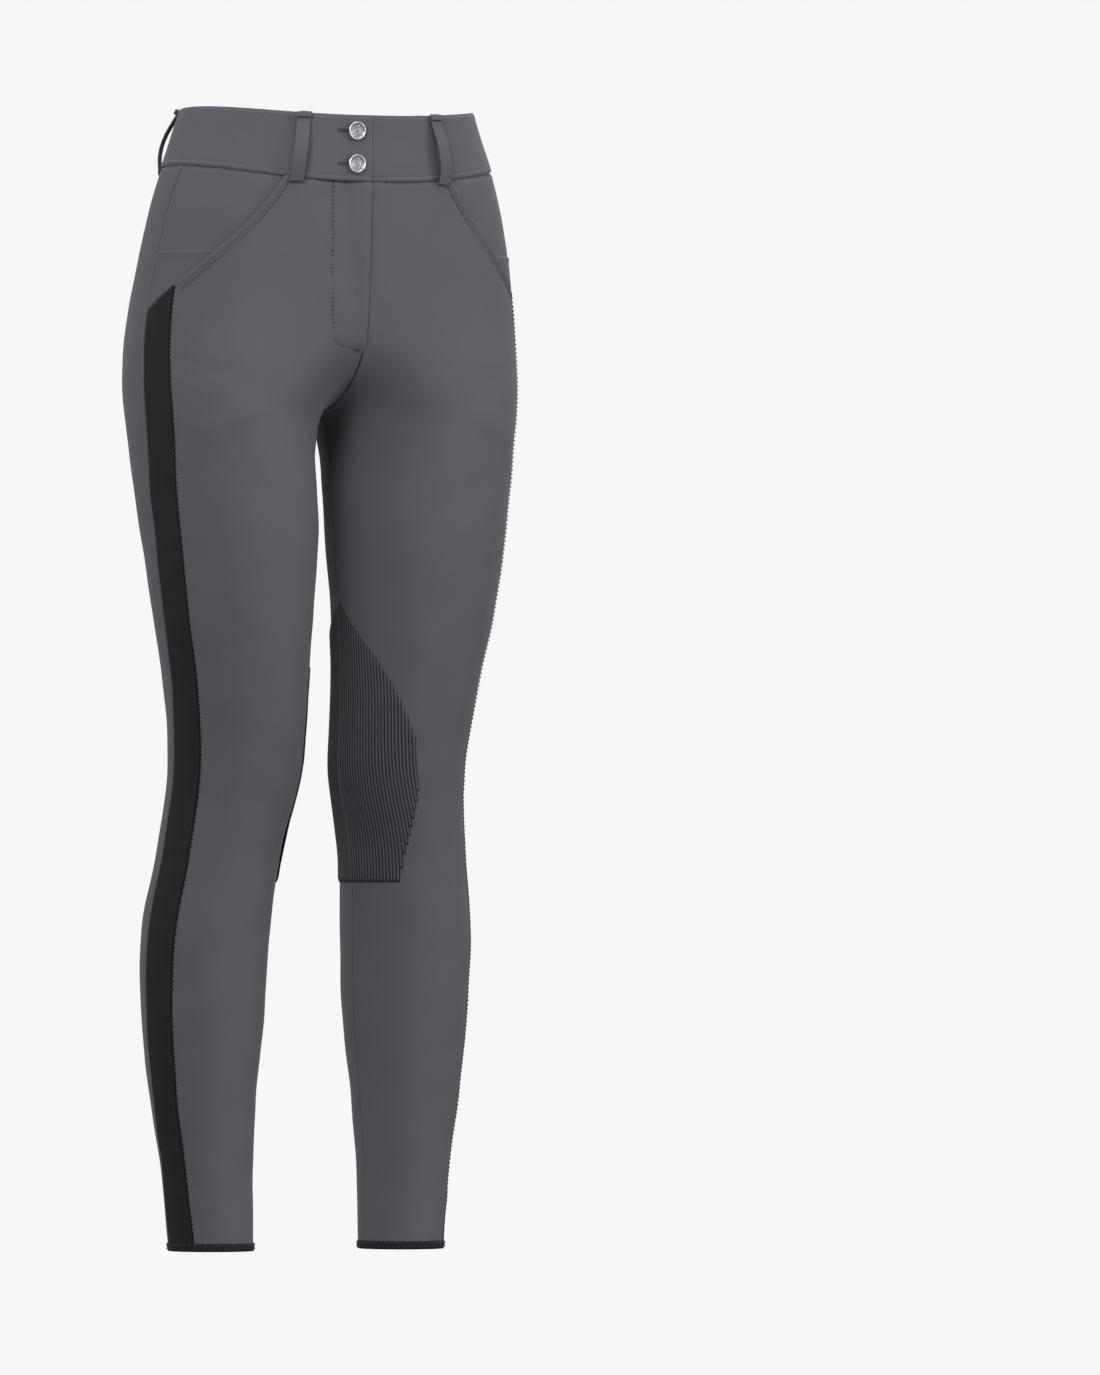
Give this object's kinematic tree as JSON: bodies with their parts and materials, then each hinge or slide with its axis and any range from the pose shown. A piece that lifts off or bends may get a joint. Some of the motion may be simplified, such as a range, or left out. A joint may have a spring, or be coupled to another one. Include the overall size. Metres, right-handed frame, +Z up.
{
  "type": "riding breeches",
  "caption": "Women's riding breeches in worn shape, with a contoured waistband, belt loops, curved front pockets, side stripes, an arched seat seam, knee grip patches and bound hems.",
  "frame": {"origin": "middle of the waist opening, between the front and the back of the waistband", "axes": "+Z up, -Y to the front of the garment, +X to the wearer's left"},
  "size_m": [0.354, 0.2568, 1.0001],
  "materials": {
    "softshell": "matte stretch softshell cloth, mid grey",
    "stripe": "smooth black stretch cloth",
    "grip": "ribbed dark grey grip",
    "binding": "black elastic tape",
    "steel": "polished rim, brushed face"
  },
  "bodies": {
    "root": {"waistband": "softshell", "front_left": "softshell", "front_right": "softshell", "hip_facing_left": "softshell", "hip_facing_right": "softshell", "phone_pocket_left": "softshell", "phone_pocket_right": "softshell", "back_outer_left": "softshell", "back_outer_right": "softshell", "seat_left": "softshell", "seat_right": "softshell", "welt_upper_left": "softshell", "welt_upper_right": "softshell", "welt_lower_left": "softshell", "welt_lower_right": "softshell", "stripe_left": "stripe", "stripe_right": "stripe", "knee_grip_left": "grip", "knee_grip_right": "grip", "hem_binding_left": "binding", "hem_binding_right": "binding", "belt_loop_front_left": "softshell", "belt_loop_side_left": "softshell", "belt_loop_back": "softshell", "belt_loop_side_right": "softshell", "belt_loop_front_right": "softshell", "button_1": "steel", "button_2": "steel"}
  },
  "joints": []
}
